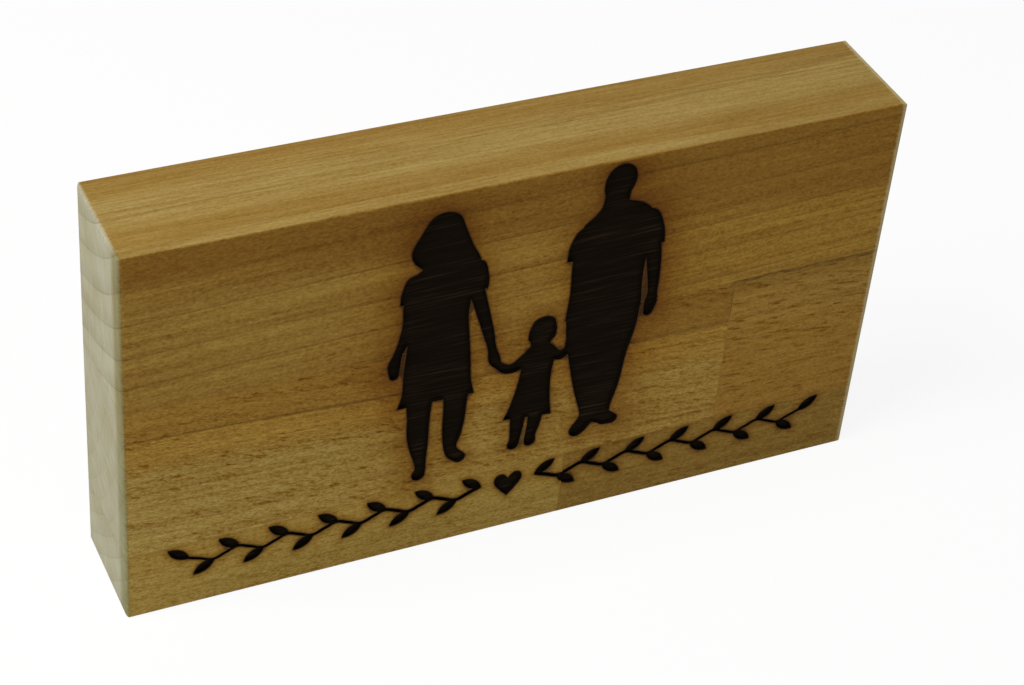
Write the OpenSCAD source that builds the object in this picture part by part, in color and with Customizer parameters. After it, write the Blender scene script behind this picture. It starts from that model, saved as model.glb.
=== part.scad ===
// Engraved wooden plaque: a block of edge-glued beech staves that stands on its lower edge.
// Three rows of staves are glued edge to edge, and the lower two rows are finger jointed end to end.
// The front carries an engraved family of three above an engraved running vine.
// The origin is the middle of the underside. X runs to the right, Y to the back and Z up.

/* [Block] */
// Length of the plaque, end to end
plaque_length = 180; // [160:1:260]
// Height of the plaque, from the edge that it stands on
plaque_height = 98; // [98:1:140]
// Thickness of the board that the plaque is cut from
plaque_thickness = 27.5; // [18:0.5:40]
// Radius of the sanded arrises round the two ends
end_round = 1.2; // [0.4:0.1:3]
// Radius of the arrises along the top and the underside
edge_round = 0.5; // [0.2:0.1:2]

/* [Staves] */
// Width of a full stave in the board
stave_width = 40; // [32:1:45]
// Height of the bottom row, which the saw cut down from a full stave
bottom_row = 18; // [12:1:24]
// Thickness of the glue between two rows
glue_thickness = 0.1; // [0.05:0.05:0.3]
// Distance from the right end to the end joint in the middle row
middle_joint = 37.8; // [20:0.1:90]
// Distance from the right end to the end joint in the bottom row
bottom_joint = 76.5; // [20:0.1:110]

/* [Finger joints] */
// Length of a finger
finger_length = 10; // [6:0.5:15]
// Distance from one finger to the next
finger_pitch = 3.7; // [2.5:0.1:6.2]
// Width of a finger's blunt tip
finger_tip = 0.6; // [0.2:0.1:1]
// Room left for glue beyond the tips of the fingers
finger_gap = 0.3; // [0.1:0.05:0.6]

/* [Engraving] */
// Depth of the engraving below the front face
engraving_depth = 0.8; // [0.3:0.1:2]

/* [Woman] */
// Height of the woman
woman_height = 73; // [50:0.5:75]
// Place of the woman, right of the plaque's middle
woman_place = -20; // [-40:0.5:-15]
// Height of the woman's soles above the underside
woman_ground = 20.5; // [20:0.5:22]

/* [Child] */
// Height of the child
child_height = 37; // [30:0.5:42]
// Place of the child, right of the plaque's middle
child_place = 4.5; // [0:0.5:8]
// Height of the child's soles above the underside
child_ground = 23; // [20:0.5:26]

/* [Man] */
// Height of the man
man_height = 74.5; // [50:0.5:74.5]
// Place of the man, right of the plaque's middle
man_place = 19.5; // [16:0.5:40]
// Height of the man's soles above the underside
man_ground = 22.5; // [20:0.5:22.5]
// How far the man's head leans to the right
man_head_tilt = 12; // [0:1:20]

/* [Vine] */
// Height of the vine's stem above the underside
vine_height = 12.8; // [9:0.5:15]
// Bare wood between the vine and each end of the plaque
vine_margin = 8; // [4:0.5:30]
// Bare wood between the two halves of the vine
vine_opening = 14; // [8:0.5:30]
// Number of leaves on each half of the vine
vine_leaves = 13; // [6:1:16]
// Height of the stem's waves to each side
vine_wave = 1.1; // [0.5:0.1:2]
// Thickness of the stem
vine_stem = 1; // [0.6:0.1:1.5]
// Length of a leaf
leaf_length = 6; // [3:0.1:6.5]
// Width of a leaf
leaf_width = 2.5; // [1:0.1:3]
// Width of the heart between the two halves of the vine
heart_width = 7; // [4:0.5:10]

/* [Hidden] */
$fn = 48;

// How far a cutting shape reaches past the face that it cuts
past = 1;
// Angle between a leaf and the run of the vine
leaf_angle = 36;
// Curve steps between two points of an outline
curve_steps = 6;

// Heights of the joints between the rows
lower_joint_z = bottom_row;
upper_joint_z = bottom_row + stave_width;

// Places of the end joints, from the middle of the plaque
middle_joint_x = plaque_length / 2 - middle_joint;
bottom_joint_x = plaque_length / 2 - bottom_joint;

front_y = -plaque_thickness / 2;

// ---------------------------------------------------------------------------
// The block
// ---------------------------------------------------------------------------

// Rectangle about the origin with rounded corners
module rounded_rectangle(width, height, radius) {
    square([width - 2 * radius, height], center = true);
    square([width, height - 2 * radius], center = true);
    for (x = [-1, 1], y = [-1, 1])
        translate([x * (width / 2 - radius), y * (height / 2 - radius)])
            circle(r = radius);
}

// The whole plaque without its engraving, which is rounded along all twelve arrises
module block() {
    translate([0, 0, plaque_height / 2])
        intersection() {
            linear_extrude(plaque_height, center = true)
                rounded_rectangle(plaque_length, plaque_thickness, end_round);
            rotate([90, 0, 0])
                linear_extrude(plaque_thickness, center = true)
                    rounded_rectangle(plaque_length, plaque_height, end_round);
            rotate([90, 0, 90])
                linear_extrude(plaque_length, center = true)
                    rounded_rectangle(plaque_thickness, plaque_height, edge_round);
        }
}

// ---------------------------------------------------------------------------
// Finger joints, seen from above
// ---------------------------------------------------------------------------

// The line of the fingers from front to back. It leaves both faces at x, so that the joint
// shows there as a straight line, and what is left over from whole fingers is flat.
function finger_line(x) =
    let (count = floor(plaque_thickness / finger_pitch),
         first = -count * finger_pitch / 2,
         root = finger_tip / 2,
         tip = finger_pitch / 2 - finger_tip / 2)
    concat(
        [[x, front_y - past]],
        [for (k = [0 : count - 1])
            let (y = first + k * finger_pitch)
            each [[x, y + root],
                  [x + finger_length, y + tip],
                  [x + finger_length, y + finger_pitch - tip],
                  [x, y + finger_pitch - root]]],
        [[x, past - front_y]]
    );

function reversed(list) = [for (i = [len(list) - 1 : -1 : 0]) list[i]];

// Everything to the left of the joint at x
module left_of_joint(x) {
    far = -plaque_length / 2 - past;
    polygon(concat([[far, front_y - past]], finger_line(x), [[far, past - front_y]]));
}

// Everything to the right of the joint at x and its glue
module right_of_joint(x) {
    far = plaque_length / 2 + past;
    polygon(concat([[far, front_y - past]], finger_line(x + finger_gap), [[far, past - front_y]]));
}

// The glue between the fingers of the joint at x
module within_joint(x) {
    polygon(concat(finger_line(x), reversed(finger_line(x + finger_gap))));
}

// ---------------------------------------------------------------------------
// Outlines with curves
// ---------------------------------------------------------------------------

// Point at t of the way from b to c, on the smooth curve that comes from a and goes on to d
function curve_point(a, b, c, d, t) =
    b + t * (c - a) / 2
      + pow(t, 2) * (2 * a - 5 * b + 4 * c - d) / 2
      + pow(t, 3) * (3 * b - a - 3 * c + d) / 2;

// Smooth curve through points, from the first to the last
function open_curve(points) =
    let (last = len(points) - 1)
    concat(
        [for (i = [0 : last - 1], s = [0 : curve_steps - 1])
            curve_point(points[max(i - 1, 0)], points[i], points[i + 1],
                        points[min(i + 2, last)], s / curve_steps)],
        [points[last]]
    );

// Smooth closed curve through points
function closed_curve(points) =
    let (n = len(points))
    [for (i = [0 : n - 1], s = [0 : curve_steps - 1])
        curve_point(points[(i + n - 1) % n], points[i], points[(i + 1) % n],
                    points[(i + 2) % n], s / curve_steps)];

function place(row) = [row[0], row[1]];
function unit(v) = v / norm(v);

// Direction of a spine at its row i
function heading(spine, i) =
    unit(place(spine[min(i + 1, len(spine) - 1)]) - place(spine[max(i - 1, 0)]));

// One edge of a form: the spine's points, moved sideways by each row's half width
function edge(spine, side) =
    [for (i = [0 : len(spine) - 1])
        let (along = heading(spine, i))
        place(spine[i]) + side * spine[i][2] * [along.y, -along.x]];

// A form is a spine of rows [x, height, half width]. This one ends in straight cuts, as cloth does.
module cut_form(spine) {
    polygon(concat(open_curve(edge(spine, 1)), reversed(open_curve(edge(spine, -1)))));
}

// Cloth between its left and its right edge, which both run from the top to the hem
module cloth(left, right) {
    polygon(concat(open_curve(left), reversed(open_curve(right))));
}

// Points of the round cap past row i, which turns from one edge of the form to the other
function cap(spine, i, outward) =
    let (ahead = outward * heading(spine, i),
         across = [ahead.y, -ahead.x])
    [for (a = [45, 0, -45]) place(spine[i]) + spine[i][2] * (cos(a) * ahead + sin(a) * across)];

// This form is round at both ends, as a limb is
module round_form(spine) {
    polygon(closed_curve(concat(edge(spine, 1), cap(spine, len(spine) - 1, 1),
                                reversed(edge(spine, -1)), cap(spine, 0, -1))));
}

// Egg-shaped head, one unit high and narrower at the chin
module head(middle, width) {
    translate(middle)
        polygon([for (a = [0 : 10 : 350])
            [width / 2 * cos(a) * (1 + 0.1 * sin(a)), sin(a) / 2]]);
}

// ---------------------------------------------------------------------------
// The family
// Each figure is drawn in heads, the artist's unit: a grown-up is 7.5 heads high
// and a small child 5. It stands at the origin of its own drawing.
// ---------------------------------------------------------------------------

grown_up_heads = 7.5;
child_heads = 5;

woman_head = woman_height / grown_up_heads;
child_head = child_height / child_heads;
man_head = man_height / grown_up_heads;

// The child's hands in its own drawing, and where they clasp the grown-ups' hands on the plaque
left_hand = [-1.43, 3.7];
right_hand = [1.07, 3.62];
left_clasp = [child_place, child_ground] + child_head * left_hand;
right_clasp = [child_place, child_ground] + child_head * right_hand;

module woman() {
    hand = (left_clasp - [woman_place, woman_ground]) / woman_head;

    translate([woman_place, woman_ground])
        scale(woman_head) {
            head([0, 6.93], 0.7);
            // Hair that flares out on one side and falls over the shoulder on the other
            polygon(closed_curve([[0.02, 7.5], [-0.3, 7.4], [-0.57, 6.98], [-0.74, 6.6], [-0.68, 6.32],
                                  [-0.5, 6.12], [-0.2, 5.8], [0.5, 5.7], [0.88, 5.84], [0.87, 6.12],
                                  [0.68, 6.5], [0.5, 6.95], [0.33, 7.35]]));
            // Dress
            cut_form([[0, 6.3, 0.28], [0.04, 6.1, 0.5], [0.02, 5.75, 0.82], [0.02, 5.2, 0.74],
                      [0.02, 4.6, 0.68], [0.02, 4, 0.74], [0.03, 3.3, 0.8], [0.05, 2.7, 0.83],
                      [0.05, 2.28, 0.93]]);
            // Short sleeves
            cut_form([[-0.38, 5.84, 0.18], [-0.6, 5.74, 0.25], [-0.68, 5.5, 0.25], [-0.72, 5.2, 0.23]]);
            cut_form([[0.46, 5.9, 0.2], [0.78, 5.8, 0.27], [0.86, 5.5, 0.26], [0.88, 5.2, 0.24]]);
            // Free arm
            round_form([[-0.58, 5.7, 0.2], [-0.68, 5.2, 0.19], [-0.7, 4.7, 0.16], [-0.79, 4.25, 0.14],
                        [-0.93, 3.88, 0.11], [-1.01, 3.58, 0.15], [-1, 3.28, 0.11]]);
            // Arm that holds the child's hand
            round_form([[0.7, 5.8, 0.2], [0.86, 5.2, 0.18], [1.02, 4.65, 0.16],
                        [hand.x - 0.2, hand.y + 0.85, 0.13], [hand.x - 0.09, hand.y + 0.4, 0.1],
                        [hand.x - 0.02, hand.y + 0.1, 0.14], [hand.x + 0.04, hand.y - 0.06, 0.12]]);
            // Standing leg
            round_form([[-0.35, 2.6, 0.33], [-0.34, 1.95, 0.28], [-0.34, 1.5, 0.27], [-0.3, 1.05, 0.23],
                        [-0.24, 0.6, 0.15], [-0.22, 0.36, 0.13], [-0.26, 0.16, 0.16]]);
            // Stepping leg
            round_form([[0.54, 2.6, 0.32], [0.54, 2, 0.28], [0.53, 1.55, 0.27], [0.51, 1.15, 0.23],
                        [0.49, 0.82, 0.16], [0.56, 0.6, 0.16], [0.74, 0.42, 0.15]]);
        }
}

module child() {
    translate([child_place, child_ground])
        scale(child_head) {
            head([0.08, 4.44], 0.74);
            // Bobbed hair
            round_form([[0.09, 4.57, 0.43], [0.08, 4.42, 0.45], [0.06, 4.2, 0.44], [0.05, 4.1, 0.36]]);
            // Dress
            cut_form([[0.04, 3.98, 0.24], [0.04, 3.8, 0.46], [0.03, 3.5, 0.55], [-0.02, 2.9, 0.52],
                      [-0.07, 2.3, 0.57], [-0.12, 1.7, 0.67], [-0.17, 1.2, 0.8]]);
            // Arm to the woman's hand
            round_form([[-0.32, 3.58, 0.22], [-0.7, 3.3, 0.2], [-1, 3.28, 0.17], [-1.26, 3.48, 0.13],
                        [left_hand.x, left_hand.y, 0.15]]);
            // Arm to the man's hand
            round_form([[0.4, 3.58, 0.22], [0.74, 3.38, 0.18], [right_hand.x, right_hand.y, 0.15]]);
            // Legs
            round_form([[-0.47, 1.5, 0.26], [-0.49, 0.9, 0.22], [-0.51, 0.45, 0.18], [-0.56, 0.2, 0.19]]);
            round_form([[0.12, 1.5, 0.26], [0.08, 0.9, 0.22], [0, 0.45, 0.18], [0, 0.2, 0.19]]);
        }
}

module man() {
    hand = (right_clasp - [man_place, man_ground]) / man_head;

    translate([man_place, man_ground])
        scale(man_head) {
            // Head, which leans to the right
            translate([0.04, 7])
                rotate(-man_head_tilt)
                    head([0, 0], 0.74);
            // Neck
            cut_form([[0.03, 6.85, 0.31], [0, 6.5, 0.31], [0, 6.2, 0.44]]);
            // Shirt
            cloth([[-0.28, 6.46], [-0.5, 6.22], [-0.72, 6.02], [-0.86, 5.6], [-0.9, 5], [-0.88, 4.3],
                   [-0.93, 3.5]],
                  [[0.32, 6.5], [0.64, 6.38], [0.9, 6.14], [0.98, 5.7], [0.92, 5], [0.88, 4.3],
                   [0.93, 3.5]]);
            // Sleeves
            cut_form([[-0.4, 5.86, 0.2], [-0.62, 5.76, 0.26], [-0.73, 5.5, 0.28], [-0.78, 5.12, 0.26]]);
            cut_form([[0.5, 6.02, 0.2], [0.83, 5.9, 0.28], [0.99, 5.52, 0.28], [1.06, 5.12, 0.26]]);
            // Free arm
            round_form([[0.93, 5.7, 0.2], [1.07, 5, 0.19], [1.13, 4.55, 0.17], [1.17, 4.1, 0.14],
                        [1.18, 3.8, 0.12], [1.17, 3.55, 0.16], [1.13, 3.28, 0.12]]);
            // Arm that holds the child's hand
            round_form([[-0.66, 5.7, 0.18], [-0.7, 5, 0.14], [-0.7, 4.5, 0.13],
                        [hand.x + 0.02, hand.y + 0.75, 0.12], [hand.x, hand.y + 0.4, 0.12],
                        [hand.x, hand.y, 0.16]]);
            // Trousers, one leg in front of the other
            round_form([[-0.42, 3.8, 0.48], [-0.4, 3, 0.45], [-0.31, 2.2, 0.38], [-0.17, 1.4, 0.33],
                        [-0.05, 0.75, 0.26], [-0.09, 0.5, 0.23]]);
            round_form([[0.42, 3.8, 0.48], [0.42, 3, 0.45], [0.33, 2.2, 0.38], [0.29, 1.4, 0.33],
                        [0.2, 0.75, 0.27], [0.22, 0.5, 0.24]]);
            // Shoes
            round_form([[-0.1, 0.5, 0.2], [-0.24, 0.3, 0.2], [-0.33, 0.19, 0.19]]);
            round_form([[0.24, 0.5, 0.2], [0.38, 0.36, 0.2], [0.54, 0.3, 0.15]]);
        }
}

// ---------------------------------------------------------------------------
// The vine
// ---------------------------------------------------------------------------

// Pointed leaf along X, between two arcs, whose base lies within the stem at the origin
module leaf() {
    radius = (pow(leaf_length, 2) + pow(leaf_width, 2)) / (4 * leaf_width);
    intersection_for (side = [-1, 1])
        translate([(leaf_length - vine_stem) / 2, side * (radius - leaf_width / 2)])
            circle(r = radius, $fn = 96);
}

// Half of the vine, from the heart to the right end
module vine_half() {
    start = vine_opening / 2;
    end = plaque_length / 2 - vine_margin - leaf_length;
    spacing = (end - start) / (vine_leaves - 1);

    function wave(x) = vine_wave * cos(180 * (x - start) / spacing);
    function slope(x) = -atan(vine_wave * PI / spacing * sin(180 * (x - start) / spacing));

    // Stem, which swings to the other side from each leaf to the next
    cut_form([for (k = [0 : 0.5 : vine_leaves - 1])
        let (x = start + k * spacing)
        [x, wave(x), vine_stem / 2 * (1 - 0.4 * k / vine_leaves)]]);
    // Leaves, which spring outward from the crests
    for (k = [0 : vine_leaves - 1])
        translate([start + k * spacing, wave(start + k * spacing)])
            rotate((k % 2 == 0 ? 1 : -1) * leaf_angle)
                leaf();
}

// Heart, as high as it is wide
module heart() {
    half = open_curve([[0, -0.5], [0.3, -0.16], [0.48, 0.14], [0.42, 0.4], [0.2, 0.46], [0, 0.26]]);
    scale(heart_width)
        polygon(concat(half, reversed([for (p = half) if (p.x > 0) [-p.x, p.y]])));
}

module vine() {
    translate([0, vine_height]) {
        vine_half();
        mirror([1, 0])
            vine_half();
        heart();
    }
}

// ---------------------------------------------------------------------------
// Cutting the engraving and the rows
// ---------------------------------------------------------------------------

// The engraving as a solid that reaches into the front face
module engraving() {
    translate([0, front_y + engraving_depth, 0])
        rotate([90, 0, 0])
            linear_extrude(engraving_depth + past) {
                woman();
                child();
                man();
                vine();
            }
}

// The part of the block between two heights and within an outline seen from above, engraved
module slice(low, high) {
    difference() {
        intersection() {
            block();
            translate([0, 0, low])
                linear_extrude(high - low)
                    children();
        }
        engraving();
    }
}

// Outline, seen from above, that takes in the whole block
module whole_plan() {
    square([plaque_length + 2 * past, plaque_thickness + 2 * past], center = true);
}

// ---------------------------------------------------------------------------
// Staves
// ---------------------------------------------------------------------------

half_glue = glue_thickness / 2;

module top_stave() {
    color("#9c7836")
        slice(upper_joint_z + half_glue, plaque_height + past)
            whole_plan();
}

module middle_left_stave() {
    color("#a37a3a")
        slice(lower_joint_z + half_glue, upper_joint_z - half_glue)
            left_of_joint(middle_joint_x);
}

module middle_right_stave() {
    color("#977136")
        slice(lower_joint_z + half_glue, upper_joint_z - half_glue)
            right_of_joint(middle_joint_x);
}

module bottom_left_stave() {
    color("#a8844a")
        slice(-past, lower_joint_z - half_glue)
            left_of_joint(bottom_joint_x);
}

module bottom_right_stave() {
    color("#8f6c33")
        slice(-past, lower_joint_z - half_glue)
            right_of_joint(bottom_joint_x);
}

// ---------------------------------------------------------------------------
// Glue lines
// ---------------------------------------------------------------------------

module upper_glue_line() {
    color("#5a4020")
        slice(upper_joint_z - half_glue, upper_joint_z + half_glue)
            whole_plan();
}

module lower_glue_line() {
    color("#5a4020")
        slice(lower_joint_z - half_glue, lower_joint_z + half_glue)
            whole_plan();
}

module middle_end_glue_line() {
    color("#5a4020")
        slice(lower_joint_z + half_glue, upper_joint_z - half_glue)
            within_joint(middle_joint_x);
}

module bottom_end_glue_line() {
    color("#5a4020")
        slice(-past, lower_joint_z - half_glue)
            within_joint(bottom_joint_x);
}

top_stave();
middle_left_stave();
middle_right_stave();
bottom_left_stave();
bottom_right_stave();
upper_glue_line();
lower_glue_line();
middle_end_glue_line();
bottom_end_glue_line();
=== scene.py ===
import math
from typing import NamedTuple

import bmesh
import bpy
from bpy.props import FloatProperty, FloatVectorProperty, IntProperty, PointerProperty
from mathutils import Matrix, Vector


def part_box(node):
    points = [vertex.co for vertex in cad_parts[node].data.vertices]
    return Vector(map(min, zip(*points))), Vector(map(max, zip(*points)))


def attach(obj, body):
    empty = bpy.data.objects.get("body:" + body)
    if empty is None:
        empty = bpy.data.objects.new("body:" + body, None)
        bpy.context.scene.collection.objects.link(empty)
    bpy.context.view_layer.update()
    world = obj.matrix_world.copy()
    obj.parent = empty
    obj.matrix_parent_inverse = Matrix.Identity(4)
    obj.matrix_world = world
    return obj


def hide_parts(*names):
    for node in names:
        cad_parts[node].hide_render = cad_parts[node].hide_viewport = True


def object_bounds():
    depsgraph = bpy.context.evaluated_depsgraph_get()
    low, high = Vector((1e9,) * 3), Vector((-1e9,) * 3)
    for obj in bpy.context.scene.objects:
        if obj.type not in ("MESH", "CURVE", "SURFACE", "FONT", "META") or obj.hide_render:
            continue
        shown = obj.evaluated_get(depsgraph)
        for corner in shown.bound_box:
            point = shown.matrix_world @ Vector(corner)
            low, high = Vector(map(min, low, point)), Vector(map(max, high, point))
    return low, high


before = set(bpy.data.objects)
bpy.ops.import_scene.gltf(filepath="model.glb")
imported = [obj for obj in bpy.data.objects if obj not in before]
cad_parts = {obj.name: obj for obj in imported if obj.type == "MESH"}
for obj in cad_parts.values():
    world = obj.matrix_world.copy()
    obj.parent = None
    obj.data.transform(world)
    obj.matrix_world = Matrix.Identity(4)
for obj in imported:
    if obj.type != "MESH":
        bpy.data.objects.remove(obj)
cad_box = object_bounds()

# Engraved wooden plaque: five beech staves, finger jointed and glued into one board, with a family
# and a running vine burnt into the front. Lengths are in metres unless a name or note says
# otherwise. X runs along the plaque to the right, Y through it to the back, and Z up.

bl_info = {
    "name": "Engraved Wooden Plaque",
    "version": (1, 0, 0),
    "blender": (4, 5, 0),
    "location": "3D View > Sidebar > Plaque",
    "description": "Dresses a glued beech plaque: wood, burnt engraving, glue lines and studio",
    "category": "Object",
}

MM = 0.001
MM_IN_METRE = 1000.0
CAD_LOW, CAD_HIGH = cad_box
FRONT = CAD_LOW.y
FRONT_MM = FRONT / MM
LEFT_MM = CAD_LOW.x / MM
RIGHT_MM = CAD_HIGH.x / MM
LOWER_JOINT = (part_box("bottom_left_stave")[1].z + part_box("middle_left_stave")[0].z) / 2
UPPER_JOINT = (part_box("middle_left_stave")[1].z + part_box("top_stave")[0].z) / 2
MIDDLE_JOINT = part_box("middle_end_glue_line")[0].x
ENGRAVING_DEPTH = 0.8 * MM
FLOOR = FRONT + ENGRAVING_DEPTH
TINY = 0.01 * MM
WHITE = (1.0, 1.0, 1.0, 1.0)


def srgb(red, green, blue):
    """A colour as paint charts give it, 0 to 255, made linear."""
    channels = []
    for level in (red, green, blue):
        level = level / 255
        channels.append(level / 12.92 if level <= 0.04045 else ((level + 0.055) / 1.055) ** 2.4)
    return tuple(channels)


def opaque(colour):
    """A colour with its alpha, as a colour socket takes it."""
    return (*colour, 1.0)


# ------------------------------------------------------------------------------
# Node trees as Python expressions
# ------------------------------------------------------------------------------


class Value:
    """One output of a node. Sums and products with it add Math nodes."""

    def __init__(self, graph, socket):
        self.graph = graph
        self.socket = socket

    def __add__(self, other):
        return self.graph.math("ADD", self, other)

    def __radd__(self, other):
        return self.graph.math("ADD", other, self)

    def __sub__(self, other):
        return self.graph.math("SUBTRACT", self, other)

    def __rsub__(self, other):
        return self.graph.math("SUBTRACT", other, self)

    def __mul__(self, other):
        return self.graph.math("MULTIPLY", self, other)

    def __rmul__(self, other):
        return self.graph.math("MULTIPLY", other, self)

    def __truediv__(self, other):
        return self.graph.math("DIVIDE", self, other)

    def output(self, key):
        """Another output of the same node."""
        return Value(self.graph, self.socket.node.outputs[key])


class Axes(NamedTuple):
    """The parts of a vector."""

    x: Value
    y: Value
    z: Value


class Graph:
    """A shader or geometry tree that is being built."""

    def __init__(self, tree):
        self.tree = tree

    def add(self, kind, settings=None, inputs=None, output=0):
        """Add a node: its settings come first, then the values or links of its sockets."""
        node = self.tree.nodes.new(kind)
        for name, setting in (settings or {}).items():
            setattr(node, name, setting)
        for key, value in (inputs or {}).items():
            if isinstance(value, Value):
                self.tree.links.new(value.socket, node.inputs[key])
            else:
                node.inputs[key].default_value = value
        return Value(self, node.outputs[output])

    def math(self, operation, *values, clamp=False):
        """Sum, product or other function of values and numbers."""
        settings = {"operation": operation, "use_clamp": clamp}
        return self.add("ShaderNodeMath", settings, dict(enumerate(values)))

    def clamp(self, value):
        """The value, kept from 0 to 1."""
        return self.math("ADD", value, 0.0, clamp=True)

    def length(self, across, along):
        return self.math("SQRT", across * across + along * along)

    def fade(self, value, start, end):
        """0 before start and 1 beyond end, with a smooth step between; start may be the higher."""
        settings = {"interpolation_type": "SMOOTHSTEP"}
        if start < end:
            inputs = {"Value": value, 1: start, 2: end, 3: 0.0, 4: 1.0}
        else:
            inputs = {"Value": value, 1: end, 2: start, 3: 1.0, 4: 0.0}
        return self.add("ShaderNodeMapRange", settings, inputs)

    def vector(self, x, y, z):
        return self.add("ShaderNodeCombineXYZ", None, {0: x, 1: y, 2: z})

    def split(self, vector):
        """The vector's parts along X, Y and Z."""
        x = self.add("ShaderNodeSeparateXYZ", None, {0: vector})
        return Axes(x, x.output(1), x.output(2))

    def vector_math(self, operation, *vectors):
        return self.add("ShaderNodeVectorMath", {"operation": operation}, dict(enumerate(vectors)))

    def noise(self, point, sizes, shift=(0.0, 0.0, 0.0), detail=2.0, roughness=0.5, output="Fac"):
        """A noise about 0.5 whose waves have these sizes along each axis."""
        scale = tuple(1 / size for size in sizes)
        place = self.vector_math("MULTIPLY_ADD", point, scale, shift)
        inputs = {"Vector": place, "Scale": 1.0, "Detail": detail, "Roughness": roughness}
        return self.add("ShaderNodeTexNoise", None, inputs, output)

    def mix(self, factor, first, second):
        """Mix two colours or directions; each is a link or a tuple of four."""
        settings = {"data_type": "RGBA", "clamp_factor": True}
        return self.add("ShaderNodeMix", settings, {0: factor, 6: first, 7: second}, 2)

    def bump(self, height, strength, depth, normal=None):
        """The normal of a surface with fine relief; depth is in metres."""
        inputs = {"Strength": strength, "Distance": depth, "Height": height}
        if normal is not None:
            inputs["Normal"] = normal
        return self.add("ShaderNodeBump", None, inputs)

    def principled(self, colour, roughness, normal, shine):
        """A surface; shine is its specular level."""
        inputs = {"Base Color": colour, "Roughness": roughness, "Normal": normal}
        inputs["Specular IOR Level"] = shine
        return self.add("ShaderNodeBsdfPrincipled", None, inputs)

    def attribute(self, name):
        """A number that the engraving tree or the mesh stores under a name."""
        return self.add("ShaderNodeAttribute", {"attribute_name": name}, output="Fac")

    def object_point(self):
        """The place on the object, in millimetres."""
        coordinates = self.add("ShaderNodeTexCoord", output="Object")
        return self.vector_math("MULTIPLY", coordinates, (MM_IN_METRE, MM_IN_METRE, MM_IN_METRE))

    def seen(self):
        """1 for rays that end in the camera, also by way of a mirror or through glass."""
        path = self.add("ShaderNodeLightPath", output="Is Camera Ray")
        seen = self.math("MAXIMUM", path, path.output("Is Glossy Ray"))
        return self.math("MAXIMUM", seen, path.output("Is Transmission Ray"))

    def link(self, value, node, key):
        self.tree.links.new(value.socket, node.inputs[key])

    def close(self, surface, kind="ShaderNodeOutputMaterial"):
        """Give a shader tree its output."""
        self.link(surface, self.tree.nodes.new(kind), "Surface")


def new_material(name):
    """An empty material and its graph."""
    material = bpy.data.materials.new(name)
    material.use_nodes = True
    material.node_tree.nodes.clear()
    return material, Graph(material.node_tree)


# ------------------------------------------------------------------------------
# Settings
# ------------------------------------------------------------------------------


def colour_setting(name, description, colour):
    return FloatVectorProperty(
        name=name,
        description=description,
        subtype="COLOR",
        size=3,
        min=0.0,
        max=1.0,
        default=srgb(*colour),
    )


def length_setting(name, description, metres, highest):
    return FloatProperty(
        name=name,
        description=description,
        subtype="DISTANCE",
        unit="LENGTH",
        min=0.0,
        max=highest,
        precision=5,
        default=metres,
    )


def share_setting(name, description, share):
    return FloatProperty(
        name=name,
        description=description,
        subtype="FACTOR",
        min=0.0,
        max=1.0,
        default=share,
    )


def angle_setting(name, description, degrees):
    return FloatProperty(
        name=name,
        description=description,
        subtype="ANGLE",
        default=math.radians(degrees),
    )


class PlaqueWood(bpy.types.PropertyGroup):
    """Colours and grain of the oiled beech."""

    top_colour: colour_setting("Top Stave", "Its colour", (149, 115, 48))
    middle_left_colour: colour_setting("Middle Left Stave", "Its colour", (161, 132, 65))
    middle_right_colour: colour_setting("Middle Right Stave", "Its colour", (160, 122, 49))
    bottom_left_colour: colour_setting("Bottom Left Stave", "Its colour", (159, 131, 62))
    bottom_right_colour: colour_setting("Bottom Right Stave", "Its colour", (141, 111, 47))
    warm_colour: colour_setting("Heartwood", "The reddish brown of some bands", (130, 90, 28))
    amber_colour: colour_setting("Amber", "The golden brown of some bands", (160, 121, 45))
    dull_colour: colour_setting("Dull Wood", "The duller brown of some bands", (144, 114, 55))
    # Used only by the top stave, where its bands lie on the top face: partly paler wood, partly
    # painted sheen and cooler light.
    pale_colour: colour_setting("Sapwood", "The paler wood of some bands", (158, 135, 77))
    latewood_colour: colour_setting("Latewood", "The thin dark line that ends a ring", (104, 70, 20))
    seam_colour: colour_setting("Stained Seam", "Wood that the glue darkened", (86, 58, 20))
    # Sanded end grain, with sheen and cool light painted into its pale grey.
    end_grain_sheen_colour: colour_setting("End Grain", "The sanded ends", (163, 158, 132))
    # Tints the ends darker, with less blue, near their front edges.
    front_edge_tint_colour: colour_setting("Worn Edge", "Tint of the ends' worn front edges", (214, 216, 193))
    # Partly pale sanded end grain, partly a painted highlight of light caught by the right end's
    # rounded edges.
    rim_pale_and_highlight_colour: colour_setting("Rim", "Wood worn pale at the right end's edges", (186, 170, 122))
    end_ring_colour: colour_setting("End Grain Rings", "The rings in the ends", (124, 118, 92))
    glue_colour: colour_setting("Glue", "The dried glue", (146, 113, 46))
    fleck_strength: share_setting("Fleck Strength", "How marked the flecks are", 0.8)
    fibre_strength: share_setting("Fibre Strength", "How marked the fine fibres are", 0.55)


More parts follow.
